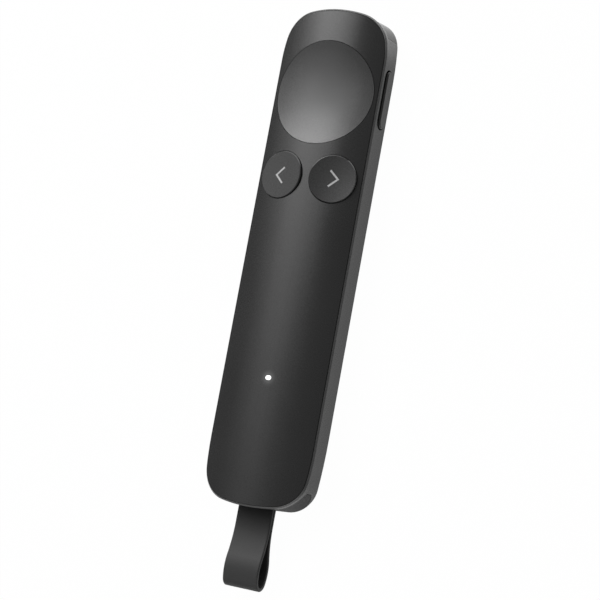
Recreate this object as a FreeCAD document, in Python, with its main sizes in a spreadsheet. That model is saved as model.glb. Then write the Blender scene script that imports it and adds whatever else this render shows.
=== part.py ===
import FreeCAD, Part
import os
import re
import Sketcher
from FreeCAD import Placement, Rotation, Vector

os.makedirs("parts", exist_ok=True)

# A wireless presentation clicker lying on its back. +Z is out of the front face, +Y runs to the
# end with the pointer pad, +X to the side key. The origin is the middle of the flat back.
# All sizes are in millimetres, and turns are in degrees.
SIZES = {
    # Whole body
    "body_width": 28.4,
    "body_length": 122.3,
    "side_height": 6.56,
    "rear_rise": 1.6,
    "crown_radius": 34.3,
    "rim_height": 1.0,
    # Plan outline at the front rim: shoulder, corner and end arcs, and the shoulder's turn
    "front_head_shoulder": 26.3,
    "front_head_corner": 8.33,
    "front_head_end": 37.4,
    "front_head_turn": 11.5,
    "front_foot_shoulder": 66.5,
    "front_foot_corner": 8.22,
    "front_foot_end": 42.7,
    "front_foot_turn": 6.5,
    # Plan outline at the rear edge, with fuller corners
    "rear_head_shoulder": 85.0,
    "rear_head_corner": 6.9,
    "rear_head_end": 77.0,
    "rear_head_turn": 5.8,
    "rear_foot_shoulder": 140.0,
    "rear_foot_corner": 7.0,
    "rear_foot_end": 99.0,
    "rear_foot_turn": 5.0,
    # Side band
    "band_wall": 1.5,
    "rim_width": 0.4,
    "rim_chamfer": 0.35,
    "rear_edge_chamfer": 0.45,
    # Front cover
    "cover_wall": 1.0,
    "seam_gap": 0.12,
    "lip_wall": 0.8,
    "lip_depth": 2.0,
    "lip_from_foot": 15.45,
    "lip_button_gap": 3.82,
    "snap_reach": 0.35,
    "snap_length": 5.0,
    "snap_height": 0.8,
    "snap_play": 0.1,
    # Rear cover
    "rear_margin": 0.45,
    "rear_floor": 1.5,
    "rear_bevel": 0.9,
    "rear_lip_height": 1.7,
    "lip_key_gap": 2.3,
    "fence_wall": 0.8,
    "fence_height": 1.2,
    # Clearances
    "fit_gap": 0.1,
    "running_gap": 0.08,
    "key_gap": 0.12,
    "stack_gap": 0.05,
    "pipe_gap": 0.04,
    "switch_gap": 0.1,
    "overrun": 1.0,
    # Pointer pad
    "pad_margin": 1.32,
    "pad_head_margin": 8.1,
    "pad_dish": 1.2,
    "pad_wall": 0.9,
    "pad_travel": 0.3,
    "pad_plunger_radius": 1.6,
    "pad_pin_radius": 0.9,
    # Pad carrier
    "carrier_margin": 1.58,
    "carrier_pin_inset": 0.9,
    "carrier_wall": 0.7,
    "carrier_rise": 0.9,
    "carrier_window": 3.4,
    "sleeve_wall": 0.55,
    "sleeve_height": 0.25,
    "carrier_foot_width": 2.0,
    # Back and next buttons
    "button_side_margin": 1.37,
    "button_middle_gap": 1.98,
    "button_row_gap": 2.33,
    "button_proud": 0.2,
    "button_chamfer": 0.2,
    "button_travel": 0.3,
    "button_skirt": 1.85,
    "button_bar_length": 13.4,
    "button_bar_width": 5.0,
    "button_bar_wall": 0.6,
    "button_wall": 0.9,
    "button_plunger_radius": 1.1,
    # Side key
    "key_ahead": 0.5,
    "key_length": 14.2,
    "key_width": 3.2,
    "key_proud": 0.45,
    "key_travel": 0.3,
    "key_chamfer": 0.35,
    "key_end_gap": 0.35,
    "key_side_gap": 0.5,
    "slot_level": 4.9,
    "key_drop": 0.15,
    "key_flange_end": 1.1,
    "key_flange_side": 0.9,
    "key_flange_wall": 0.6,
    "key_plunger_radius": 0.9,
    # Dome switches
    "switch_side": 4.2,
    "switch_base": 0.35,
    "dome_radius": 1.7,
    "dome_top_radius": 1.0,
    "dome_height": 0.3,
    # Side switch bracket
    "bracket_wall": 0.6,
    "bracket_length": 12.0,
    "bracket_height": 4.0,
    # Chassis
    "chassis_inset": 2.7,
    "chassis_wall": 1.7,
    "rib_wall": 1.4,
    "post_radius": 1.4,
    "post_inset": 2.2,
    "post_foot_inset": 3.15,
    "post_head_gap": 0.65,
    "key_notch_play": 1.0,
    "key_notch_depth": 5.2,
    # Main board and what it carries
    "board_margin": 3.4,
    "board_wall": 0.8,
    "board_level": 5.2,
    "board_play": 0.3,
    "board_corner": 1.2,
    "radio_side": 9.0,
    "radio_height": 1.4,
    "radio_gap": 5.0,
    "antenna_length": 7.0,
    "antenna_width": 2.0,
    "antenna_height": 1.0,
    "antenna_ahead": 6.15,
    "chip_side": 5.0,
    "chip_height": 0.9,
    "chip_gap": 11.0,
    "led_from_foot": 30.8,
    "led_length": 1.6,
    "led_width": 0.9,
    "led_height": 0.6,
    # Light pipe
    "pipe_width": 1.5,
    "pipe_length": 1.05,
    "pipe_sunk": 0.02,
    "pipe_foot_width": 3.2,
    "pipe_foot_length": 2.6,
    "pipe_foot_height": 0.6,
    # Battery
    "battery_width": 13.6,
    "battery_head_play": 4.35,
    "battery_height": 3.2,
    "battery_round": 1.1,
    "battery_play": 1.0,
    # Board screws
    "screw_radius": 0.5,
    "screw_head_radius": 1.15,
    "screw_head_height": 0.55,
    "screw_length": 2.8,
    # End window and laser
    "window_side_inset": 0.45,
    "window_border": 1.2,
    "window_low": 2.2,
    "window_corner": 0.8,
    "window_depth": 5.6,
    "window_wall": 0.8,
    "beam_radius": 2.1,
    "laser_radius": 2.4,
    "laser_length": 10.6,
    "laser_level": 4.4,
    "laser_back_play": 1.0,
    "laser_front_gap": 2.25,
    "laser_nose_depth": 1.4,
    "laser_nose_wall": 0.45,
    "lens_wall": 0.9,
    "cradle_width": 7.4,
    # Receiver with its cap, plug and holder
    "cap_side_inset": 0.9,
    "cap_border": 1.25,
    "cap_low": 2.15,
    "cap_corner": 2.4,
    "cap_depth": 5.4,
    "holder_width": 14.0,
    "holder_wall": 0.55,
    "holder_depth": 5.3,
    "plug_width": 12.0,
    "plug_height": 4.5,
    "plug_length": 13.4,
    "plug_wall": 0.3,
    "tongue_width": 11.0,
    "tongue_height": 1.9,
    "tongue_sunk": 0.8,
    "contact_width": 1.1,
    "contact_pitch": 2.3,
    "contact_wall": 0.12,
    "contact_length": 7.5,
    "bay_play": 0.2,
    "bay_wall": 0.45,
    "bay_end_play": 0.6,
    # Charging socket in the end of the receiver's bay
    "socket_width": 8.94,
    "socket_height": 3.26,
    "socket_length": 6.0,
    "socket_wall": 0.3,
    "socket_tongue_width": 6.7,
    "socket_tongue_height": 0.7,
    "socket_tongue_sunk": 0.7,
    # Strap loop and its pin
    "strap_level": 4.45,
    "strap_width": 9.35,
    "strap_ply": 0.95,
    "strap_ply_gap": 0.05,
    "strap_reach": 19.35,
    "strap_belly": 2.75,
    "strap_slope": 18.5,
    "strap_belly_radius": 9.0,
    "strap_tip_radius": 2.4,
    "strap_root_round": 0.8,
    "pin_radius": 0.5,
    "pin_depth": 4.05,
    "pin_seat": 1.2,
    "strap_side_play": 0.2,
    "swing_front": 25.0,
    "swing_play": 0.2,
}

# Sizes and places that follow from the ones above
FOLLOWING = {
    # Across the body
    "pad_radius": "(body_width/2 - pad_margin)",
    "button_radius": "((body_width - button_middle_gap)/4 - button_side_margin/2)",
    "button_offset": "(button_radius + button_middle_gap/2)",
    "key_notch_half": "(body_width/2 - key_notch_depth)",
    "carrier_width": "(2*(key_notch_half - board_play))",
    "pad_pin_offset": "(carrier_width/2 - carrier_pin_inset)",
    "board_width": "(body_width - 2*board_margin)",
    "post_offset": "(board_width/2 - post_inset)",
    "window_half_width": "(body_width/2 - window_side_inset)",
    "cap_half_width": "(body_width/2 - cap_side_inset)",
    # Along the body, from the head end
    "pad_place": "(body_length/2 - pad_head_margin - pad_radius)",
    "carrier_length": "(2*(pad_radius - carrier_margin))",
    "button_place": "(pad_place - pad_radius - button_row_gap - button_radius)",
    "post_head_place": "(pad_place - carrier_length/2 - post_head_gap - post_radius)",
    "board_head": "(body_length/2 - band_wall - laser_front_gap - laser_length - laser_back_play)",
    "key_place": "(pad_place + key_ahead)",
    "slot_length": "(key_length + 2*key_end_gap)",
    "slot_width": "(key_width + 2*key_side_gap)",
    "key_flange_length": "(key_length + 2*key_flange_end)",
    "key_flange_width": "(key_width + 2*key_flange_side)",
    "front_lip_end": "(button_place - button_radius - lip_button_gap)",
    "rear_lip_end": "(key_place - key_flange_length/2 - lip_key_gap)",
    # Along the body, from the foot end
    "lip_start": "(-body_length/2 + lip_from_foot)",
    "bay_end": "(-body_length/2 + band_wall + holder_depth + plug_length + bay_end_play)",
    "post_foot_place": "(bay_end + board_play + post_foot_inset)",
    "led_place": "(-body_length/2 + led_from_foot)",
    "antenna_place": "(led_place + antenna_ahead)",
    "radio_place": "(antenna_place + antenna_width/2 + radio_gap + radio_side/2)",
    "chip_place": "(radio_place + radio_side/2 + chip_gap + chip_side/2)",
}

document = FreeCAD.newDocument("presentation_clicker")
sheet = document.addObject("Spreadsheet::Sheet", "Sizes")
for row, (alias, size) in enumerate(SIZES.items(), start=1):
    sheet.set(f"A{row}", alias)
    sheet.set(f"B{row}", str(size))
    sheet.setAlias(f"B{row}", alias)
document.recompute()


# Ways of drawing: every size is an expression in the sheet's names

def bound(expression, sheet_name="Sizes."):
    """The expression with each size's name pointing at the sheet."""
    def lead(match):
        word = match.group()
        if word in FOLLOWING:
            return bound(FOLLOWING[word], sheet_name)
        return sheet_name + word if word in SIZES else word
    return re.sub(r"[a-z_]+", lead, expression)


def value(expression):
    """The expression's value now."""
    return float(sheet.evalExpression(bound(expression, "")))


def place(thing, across="0", along="0", level="0"):
    """Tie an object's place to expressions and leave its turn as it is."""
    for letter, expression in zip("xyz", (across, along, level)):
        setattr(thing.Placement.Base, letter, value(expression))
        thing.setExpression(f"Placement.Base.{letter}", bound(expression))


def box(name, across, along, level):
    """A block from three pairs of expressions, each its low and its high side."""
    block = document.addObject("Part::Box", name)
    for size, (low, high) in zip(("Length", "Width", "Height"), (across, along, level)):
        block.setExpression(size, bound(f"({high}) - ({low})"))
    place(block, across[0], along[0], level[0])
    return block


def wide_box(name, width, along, level):
    """A block that is centred across the body."""
    return box(name, (f"-({width})/2", f"({width})/2"), along, level)


def rod(name, radius, length, across="0", along="0", level="0", axis=Vector(0, 0, 1), tip=None):
    """A cylinder, or a cone if the tip has a radius of its own, from a point along an axis."""
    if tip is None:
        solid = document.addObject("Part::Cylinder", name)
        solid.setExpression("Radius", bound(radius))
    else:
        solid = document.addObject("Part::Cone", name)
        solid.setExpression("Radius1", bound(radius))
        solid.setExpression("Radius2", bound(tip))
    solid.setExpression("Height", bound(length))
    solid.Placement = Placement(Vector(), Rotation(Vector(0, 0, 1), axis))
    place(solid, across, along, level)
    return solid


def joined(name, *solids):
    fused = document.addObject("Part::MultiFuse", name)
    fused.Shapes = list(solids)
    fused.Refine = True
    return fused


def shared(name, first, second):
    common = document.addObject("Part::MultiCommon", name)
    common.Shapes = [first, second]
    return common


def cut(name, base, *tools):
    tool = tools[0] if len(tools) == 1 else joined(f"{name}_tools", *tools)
    result = document.addObject("Part::Cut", name)
    result.Base = base
    result.Tool = tool
    return result


def grouped(name, solids):
    """Like solids that share one node and stay apart."""
    compound = document.addObject("Part::Compound", name)
    compound.Links = solids
    return compound


def eased(name, base, kind, radius, wanted):
    """Fillet or chamfer the edges that the test picks."""
    document.recompute()
    finished = document.addObject(f"Part::{kind}", name)
    finished.Base = base
    size = value(radius)
    edges = enumerate(base.Shape.Edges, start=1)
    finished.Edges = [(number, size, size) for number, edge in edges if wanted(edge)]
    return finished


def fix_point(sketch, edge, point, across, upward):
    """Tie one point of a sketch's edge to two expressions."""
    for kind, expression in (("DistanceX", across), ("DistanceY", upward)):
        number = sketch.addConstraint(
            Sketcher.Constraint(kind, -1, 1, edge, point, value(expression)))
        sketch.setExpression(f"Constraints[{number}]", bound(expression))


def fix_radius(sketch, edge, radius):
    number = sketch.addConstraint(Sketcher.Constraint("Radius", edge, value(radius)))
    sketch.setExpression(f"Constraints[{number}]", bound(radius))


def corner_points(points):
    return [Vector(value(across), value(upward), 0) for across, upward in points]


def chain(sketch, points, radii):
    """A closed loop of lines and arcs. Each edge has a radius, or None for a line; a negative
    radius bends the arc towards the loop's inside. The loop runs anticlockwise."""
    corners = corner_points(points)
    edges = []
    for number, (first, radius) in enumerate(zip(corners, radii)):
        last = corners[(number + 1) % len(corners)]
        if radius is None:
            edges.append(sketch.addGeometry(Part.LineSegment(first, last), False))
            continue
        size = value(radius)
        half = (last - first) / 2
        square = Vector(-half.y, half.x, 0).normalize()
        rise = max(size * size - half.Length * half.Length, 0) ** 0.5
        hollow = size < 0
        middle = first + half + square * (-rise if hollow else rise)
        outward = square * (abs(size) if hollow else -abs(size))
        arc = Part.Arc(first, middle + outward, last)
        edges.append(sketch.addGeometry(arc, False))
    for number, edge in enumerate(edges):
        following = edges[(number + 1) % len(edges)]
        hollow = radii[number] is not None and value(radii[number]) < 0
        ahead = radii[(number + 1) % len(edges)]
        hollow_ahead = ahead is not None and value(ahead) < 0
        sketch.addConstraint(Sketcher.Constraint(
            "Coincident", edge, 1 if hollow else 2, following, 2 if hollow_ahead else 1))
        fix_point(sketch, edge, 2 if hollow else 1, *points[number])
        if radii[number] is not None:
            fix_radius(sketch, edge, f"abs({radii[number]})")


def circle(sketch, radius, across="0", upward="0"):
    edge = sketch.addGeometry(
        Part.Circle(corner_points([(across, upward)])[0], Vector(0, 0, 1), value(radius)), False)
    fix_point(sketch, edge, 3, across, upward)
    fix_radius(sketch, edge, radius)


def pill(sketch, long_side, short_side):
    """A slot-shaped loop round the sketch's origin, long across it."""
    end = f"(({long_side}) - ({short_side}))/2"
    radius = f"({short_side})/2"
    reach = value(end)
    size = value(radius)
    right = Part.Arc(Vector(reach, -size, 0), Vector(reach + size, 0, 0), Vector(reach, size, 0))
    left = Part.Arc(Vector(-reach, size, 0), Vector(-reach - size, 0, 0), Vector(-reach, -size, 0))
    lower = Part.LineSegment(Vector(-reach, -size, 0), Vector(reach, -size, 0))
    upper = Part.LineSegment(Vector(reach, size, 0), Vector(-reach, size, 0))
    edges = [sketch.addGeometry(edge, False) for edge in (lower, right, upper, left)]
    for number, edge in enumerate(edges):
        following = edges[(number + 1) % len(edges)]
        sketch.addConstraint(Sketcher.Constraint("Tangent", edge, 2, following, 1))
    fix_point(sketch, edges[1], 3, end, "0")
    fix_point(sketch, edges[3], 3, f"-{end}", "0")
    fix_radius(sketch, edges[1], radius)
    fix_radius(sketch, edges[3], radius)


def end_points(end, inset, sign):
    """The right-hand points of one end of the plan outline, and that end's three radii."""
    shoulder = f"({end}_shoulder - ({inset}))"
    corner = f"({end}_corner - ({inset}))"
    tip = f"({end}_end - ({inset}))"
    turn = f"{end}_turn"
    # The turn at which the corner arc meets the end arc follows from the half width
    turned = (f"acos((body_width/2 - {end}_shoulder*(1 - cos({turn})) - {end}_corner*cos({turn}))"
              f"/({end}_end - {end}_corner))")
    start = (f"(body_length/2 - {end}_shoulder*sin({turn}) - {end}_corner*(sin({turned})"
             f" - sin({turn})) - {end}_end*(1 - sin({turned})))")
    side = f"(body_width/2 - ({inset}))"
    first_across = f"({side} - {shoulder}*(1 - cos({turn})))"
    first_along = f"({start} + {shoulder}*sin({turn}))"
    second_across = f"({first_across} - {corner}*(cos({turn}) - cos({turned})))"
    second_along = f"({first_along} + {corner}*(sin({turned}) - sin({turn})))"
    along = (start, first_along, second_along)
    across = (side, first_across, second_across)
    return [(x, f"{sign}{y}") for x, y in zip(across, along)], (shoulder, corner, tip)


def outline(sketch, edge, inset):
    """The body's plan outline at its front or rear edge, moved inwards."""
    head, head_radii = end_points(f"{edge}_head", inset, "")
    foot, foot_radii = end_points(f"{edge}_foot", inset, "-")
    right = foot[::-1] + head
    left = [(f"-{across}", along) for across, along in right[::-1]]
    foot_arcs = [foot_radii[1], foot_radii[0]]
    head_arcs = [head_radii[0], head_radii[1]]
    radii = foot_arcs + [None] + head_arcs + [head_radii[2]]
    radii += head_arcs[::-1] + [None] + foot_arcs[::-1] + [foot_radii[2]]
    chain(sketch, right + left, radii)


def free_sketch(name, level="0"):
    """A sketch that lies flat at a level of its own."""
    sketch = document.addObject("Sketcher::SketchObject", name)
    place(sketch, level=level)
    return sketch


def prism(name, edge, inset, low, high):
    """An upright solid with the plan outline."""
    sketch = free_sketch(f"{name}_outline", low)
    outline(sketch, edge, inset)
    return extruded(name, sketch, Vector(0, 0, 1), f"({high}) - ({low})")


def extruded(name, sketch, direction, length, both_ways=False):
    solid = document.addObject("Part::Extrusion", name)
    solid.Base = sketch
    solid.DirMode = "Custom"
    solid.Dir = direction
    solid.Solid = True
    solid.Symmetric = both_ways
    solid.setExpression("LengthFwd", bound(length))
    return solid


class Piece:
    """A moulded piece built up from sketches in a body of its own."""

    def __init__(self, name):
        self.name = name
        self.body = document.addObject("PartDesign::Body", name)
        self.count = 0

    def sketch(self, plane, offset="0"):
        self.count += 1
        drawing = self.body.newObject("Sketcher::SketchObject", f"{self.name}_sketch_{self.count}")
        features = self.body.Origin.OriginFeatures
        support = [feature for feature in features if feature.Role == f"{plane}_Plane"][0]
        drawing.AttachmentSupport = [(support, "")]
        drawing.MapMode = "FlatFace"
        drawing.AttachmentOffset = Placement(Vector(0, 0, value(offset)), Rotation())
        drawing.setExpression("AttachmentOffset.Base.z", bound(offset))
        return drawing

    def pad(self, profile, length):
        self.count += 1
        made = self.body.newObject("PartDesign::Pad", f"{self.name}_Pad_{self.count}")
        made.Profile = profile
        made.setExpression("Length", bound(length))
        return made

    def bevel(self, size, wanted):
        document.recompute()
        self.count += 1
        base = self.body.Tip
        edges = enumerate(base.Shape.Edges, start=1)
        names = [f"Edge{number}" for number, edge in edges if wanted(edge)]
        made = self.body.newObject("PartDesign::Chamfer", f"{self.name}_Chamfer_{self.count}")
        made.Base = (base, names)
        made.setExpression("Size", bound(size))
        return made


def lies_at(level):
    """Test for edges that lie flat at a level."""
    height = value(level)
    return lambda edge: edge.BoundBox.ZLength < 1e-4 and abs(edge.BoundBox.ZMin - height) < 1e-4


# Levels and surfaces that several pieces share
RIM_LEVEL = "(rear_rise + side_height)"
CROWN_AXIS = f"({RIM_LEVEL} - sqrt(crown_radius^2 - (body_width/2)^2))"
CROWN_TOP = f"({CROWN_AXIS} + crown_radius)"
INNER_HALF = "(body_width/2 - band_wall)"
BOARD_TOP = "(board_level + board_wall)"
DOME_TOP = f"({BOARD_TOP} + switch_base + dome_height)"
BODY_END = "(body_length/2)"
LENGTHWISE = Vector(0, 1, 0)
SIDEWAYS = Vector(1, 0, 0)


def crown_rod(name, drop="0"):
    """The long cylinder whose top is the crown of the front face, or lies under it."""
    return rod(name, f"crown_radius - {drop}", "body_length + 2*overrun", "0",
               f"-({BODY_END} + overrun)", CROWN_AXIS, LENGTHWISE)


def end_panel(name, half_width, border, low, corner, inset, along):
    """A block along Y whose end view is a panel of the end wall: straight or rounded sides, and
    a front edge that follows the crown."""
    side = f"({half_width} - ({inset}))"
    bend = f"({corner} - ({inset}))"
    floor = f"({low} + ({inset}))"
    reach = f"(crown_radius - {border} - ({inset}))"
    middle_across = f"({side} - {bend})"
    middle_up = f"({CROWN_AXIS} + sqrt(({reach} - {bend})^2 - {middle_across}^2))"
    share = f"({reach}/({reach} - {bend}))"
    touch = (f"({middle_across}*{share})", f"({CROWN_AXIS} + ({middle_up} - {CROWN_AXIS})*{share})")
    right = [(middle_across, floor), (side, f"({floor} + {bend})"), (side, middle_up), touch]
    left = [(f"-{across}", upward) for across, upward in right[::-1]]
    sketch = document.addObject("Sketcher::SketchObject", f"{name}_view")
    sketch.Placement = Placement(Vector(), Rotation(Vector(1, 0, 0), 90))
    place(sketch, along=along[0])
    chain(sketch, right + left, [bend, None, bend, reach, bend, None, bend, None])
    return extruded(name, sketch, LENGTHWISE, f"({along[1]}) - ({along[0]})")


def outer_form(name):
    """The whole body's outer form: it flares from the front rim to fuller rear corners, and its
    front is cut by the crown."""
    rear = free_sketch(f"{name}_rear_edge", "rear_rise")
    outline(rear, "rear", "0")
    front = free_sketch(f"{name}_front_edge", f"{RIM_LEVEL} - rim_height")
    outline(front, "front", "0")
    flare = document.addObject("Part::Loft", f"{name}_flare")
    flare.Sections = [rear, front]
    flare.Solid = True
    flare.Ruled = True
    head = prism(f"{name}_head", "front", "0", f"{RIM_LEVEL} - rim_height",
                 f"{CROWN_TOP} + overrun")
    block = joined(f"{name}_block", flare, head)
    return shared(name, block, crown_rod(f"{name}_crown"))


# Shares of a lip's length at which its snaps sit, and of the end wall at which the holder starts
SNAP_SHARES = (0.12, 0.5, 0.88)
HOLDER_ROOT_SHARE = 0.7

# Places that several pieces share
HOLDER_END = f"(-{BODY_END} + band_wall + holder_depth)"
BAY_END = "bay_end"
SOCKET_END = f"({BAY_END} + socket_length)"
BOARD_FOOT = f"({BAY_END} + board_play)"
BATTERY_FOOT = f"({SOCKET_END} + battery_play)"
BATTERY_HEAD = "(post_head_place - rib_wall/2 - battery_head_play)"
KEY_LEVEL = "(slot_level - key_drop)"
KEY_LOW = "(key_place - key_flange_length/2 - key_notch_play)"
KEY_HIGH = "(key_place + key_flange_length/2 + key_notch_play)"
LASER_START = "(board_head + laser_back_play)"
LASER_END = f"({LASER_START} + laser_length)"
PIN_PLACE = f"(-{BODY_END} + pin_depth)"
EYE_RADIUS = "(pin_radius + running_gap + strap_ply)"
PLY_REACH = "(strap_ply + strap_ply_gap/2)"
SLOT_LOW = f"(strap_level - {EYE_RADIUS} - swing_play)"
SLOT_HIGH = (f"(strap_level + pin_depth*tan(swing_front) + {PLY_REACH}/cos(swing_front)"
             " + swing_play)")
BUTTON_TILT = "asin(button_offset/crown_radius)"
BUTTON_LEVEL = f"({CROWN_AXIS} + sqrt(crown_radius^2 - button_offset^2))"
LIP_OUTSIDE = f"({INNER_HALF} - fit_gap)"
FRONT_LIP_FOOT = f"({RIM_LEVEL} - cover_wall - lip_depth)"
REAR_LIP_HEAD = "(rear_rise + rear_lip_height)"
CHASSIS_FLOOR = "(rear_floor + stack_gap)"
CHASSIS_TOP = "(board_level - stack_gap)"


def leaning(thing, side):
    """Set a thing on the crown at a round button's place, leaning outwards with the surface."""
    thing.Placement = Placement(Vector(), Rotation(LENGTHWISE*int(side), value(BUTTON_TILT)))
    place(thing, f"{side}*button_offset", "button_place", BUTTON_LEVEL)
    thing.setExpression("Placement.Rotation.Angle", bound(f"{BUTTON_TILT}"))
    return thing


def side_pill(name, long_side, short_side, level, across):
    """A slot-shaped block along X, at the side key's place."""
    sketch = document.addObject("Sketcher::SketchObject", f"{name}_view")
    sketch.Placement = Placement(Vector(), Rotation(Vector(1, 1, 1), 120))
    place(sketch, across[0], "key_place", level)
    pill(sketch, long_side, short_side)
    return extruded(name, sketch, SIDEWAYS, f"({across[1]}) - ({across[0]})")


def lip_and_snaps(name, lip_end, level, snap_foot, play):
    """The straight lips of a cover on both sides, and the snaps on them with some play."""
    lips = []
    snaps = []
    for side, word in (("1", "right"), ("-1", "left")):
        outside = LIP_OUTSIDE
        inside = f"({LIP_OUTSIDE} - lip_wall)"
        reach = f"({INNER_HALF} + snap_reach + {play})"
        root = f"({LIP_OUTSIDE} - lip_wall/2)"
        if side == "-1":
            inside, outside = f"-{outside}", f"-{inside}"
            root, reach = f"-{reach}", f"-{root}"
        lips.append(box(f"{name}_{word}_lip", (inside, outside), ("lip_start", lip_end), level))
        for number, share in enumerate(SNAP_SHARES, start=1):
            middle = f"(lip_start + ({lip_end} - lip_start)*{share})"
            along = (f"{middle} - snap_length/2 - {play}", f"{middle} + snap_length/2 + {play}")
            upward = (f"{snap_foot} - {play}", f"{snap_foot} + snap_height + {play}")
            snaps.append(box(f"{name}_{word}_snap_{number}", (root, reach), along, upward))
    return lips, snaps


# Side band: the one-piece frame round the edge, with the key's slot, the window's recess and
# the opening for the receiver's cap

def on_crown(edge):
    """Test for edges that lie on the crown."""
    axis = value(CROWN_AXIS)
    radius = value("crown_radius")
    middle = edge.valueAt((edge.FirstParameter + edge.LastParameter)/2)
    spots = [vertex.Point for vertex in edge.Vertexes] + [middle]
    return all(abs((spot.x**2 + (spot.z - axis)**2)**0.5 - radius) < 1e-4 for spot in spots)


FORM = outer_form("body_form")
FRONT_SNAP_FOOT = f"({FRONT_LIP_FOOT} + snap_play)"
REAR_SNAP_FOOT = f"({REAR_LIP_HEAD} - snap_height - snap_play)"


def window_block(name, inset):
    return end_panel(name, "window_half_width", "window_border", "window_low", "window_corner",
                     inset, (f"{BODY_END} - window_depth + ({inset})", f"{BODY_END} + overrun"))


def cap_block(name, inset):
    return end_panel(name, "cap_half_width", "cap_border", "cap_low", "cap_corner",
                     inset, (f"-({BODY_END} + overrun)", f"-({BODY_END} - cap_depth + ({inset}))"))


def make_side_band():
    bevelled = eased("band_bevelled", FORM, "Chamfer", "rear_edge_chamfer", lies_at("rear_rise"))
    chamfered = eased("band_chamfered", bevelled, "Chamfer", "rim_chamfer", on_crown)
    hollow = prism("band_hollow", "front", "band_wall", "0", f"{CROWN_TOP} + overrun")
    seat = prism("band_seat_block", "front", "rim_width", f"{RIM_LEVEL} - 2*cover_wall",
                 f"{CROWN_TOP} + overrun")
    seat = cut("band_seat", seat, crown_rod("band_seat_crown", "cover_wall"))
    pad_well = rod("band_pad_well", "pad_radius + key_gap", f"{CROWN_TOP} - {RIM_LEVEL} + rim_height"
                   " + cover_wall", "0", "pad_place", f"{RIM_LEVEL} - rim_height - cover_wall")
    slot = side_pill("band_slot", "slot_length", "slot_width", "slot_level",
                     (f"{INNER_HALF} - overrun", "body_width/2 + overrun"))
    recess = cut("band_recess", window_block("band_recess_block", "0"),
                 prism("band_recess_core", "front", "window_wall + stack_gap", "0", CROWN_TOP))
    beam = rod("band_beam_hole", "beam_radius", "2*band_wall", "0",
               f"{BODY_END} - 2*band_wall", "laser_level", LENGTHWISE)
    opening = cap_block("band_opening", "0")
    front_snaps = lip_and_snaps("band_front", "front_lip_end", ("0", RIM_LEVEL),
                                FRONT_SNAP_FOOT, "snap_play")[1]
    rear_snaps = lip_and_snaps("band_rear", "rear_lip_end", ("0", RIM_LEVEL),
                               REAR_SNAP_FOOT, "snap_play")[1]
    return cut("side_band", chamfered, hollow, seat, pad_well, slot, recess, beam, opening,
               *front_snaps, *rear_snaps)


# Front cover: the crowned plate with the openings for the pad, the buttons and the light pipe

def make_front_cover():
    blank = prism("cover_blank", "front", "rim_width + seam_gap", FRONT_LIP_FOOT,
                  f"{CROWN_TOP} + overrun")
    crowned = shared("cover_crowned", blank, crown_rod("cover_crown"))
    plate = cut("cover_plate", crowned, crown_rod("cover_underside", "(cover_wall - stack_gap)"))
    lips, snaps = lip_and_snaps("cover", "front_lip_end",
                                (FRONT_LIP_FOOT, f"{RIM_LEVEL} + cover_wall/4"),
                                FRONT_SNAP_FOOT, "0")
    shell = joined("cover_shell", plate, *lips, *snaps)
    pad_hole = rod("cover_pad_hole", "pad_radius + key_gap", CROWN_TOP, "0", "pad_place", "0")
    button_holes = []
    for side, word in (("1", "next"), ("-1", "back")):
        sketch = document.addObject("Sketcher::SketchObject", f"cover_{word}_hole_view")
        circle(sketch, "button_radius + key_gap")
        leaning(sketch, side)
        axis = sketch.Placement.Rotation.multVec(Vector(0, 0, 1))
        button_holes.append(extruded(f"cover_{word}_hole", sketch, axis, "4*cover_wall", True))
    pipe_view = free_sketch("cover_pipe_view", FRONT_LIP_FOOT)
    place(pipe_view, "0", "led_place", FRONT_LIP_FOOT)
    pill(pipe_view, "pipe_width + 2*pipe_gap", "pipe_length + 2*pipe_gap")
    pipe_hole = extruded("cover_pipe_hole", pipe_view, Vector(0, 0, 1), CROWN_TOP)
    return cut("front_cover", shell, pad_hole, *button_holes, pipe_hole)


# Rear cover: the shallow tray at the back, with its lips, snaps and the battery's fences

def make_rear_cover():
    tray = Piece("rear_tray")
    plan = tray.sketch("XY")
    outline(plan, "rear", "rear_margin")
    tray.pad(plan, "rear_floor")
    tray.bevel("rear_bevel", lies_at("0"))
    lips, snaps = lip_and_snaps("rear", "rear_lip_end", ("rear_floor/2", REAR_LIP_HEAD),
                                REAR_SNAP_FOOT, "0")
    fences = []
    for word, low, high in (
            ("foot", f"{BATTERY_FOOT} - fit_gap - fence_wall", f"{BATTERY_FOOT} - fit_gap"),
            ("head", f"{BATTERY_HEAD} + fit_gap", f"{BATTERY_HEAD} + fit_gap + fence_wall")):
        fences.append(wide_box(f"rear_{word}_fence", "battery_width - 2*battery_round", (low, high),
                               ("rear_floor/2", "rear_floor + fence_height")))
    return joined("rear_cover", tray.body, *lips, *snaps, *fences)


# Chassis: the frame inside that carries the board, with its screw posts and the laser's cradle

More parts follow.
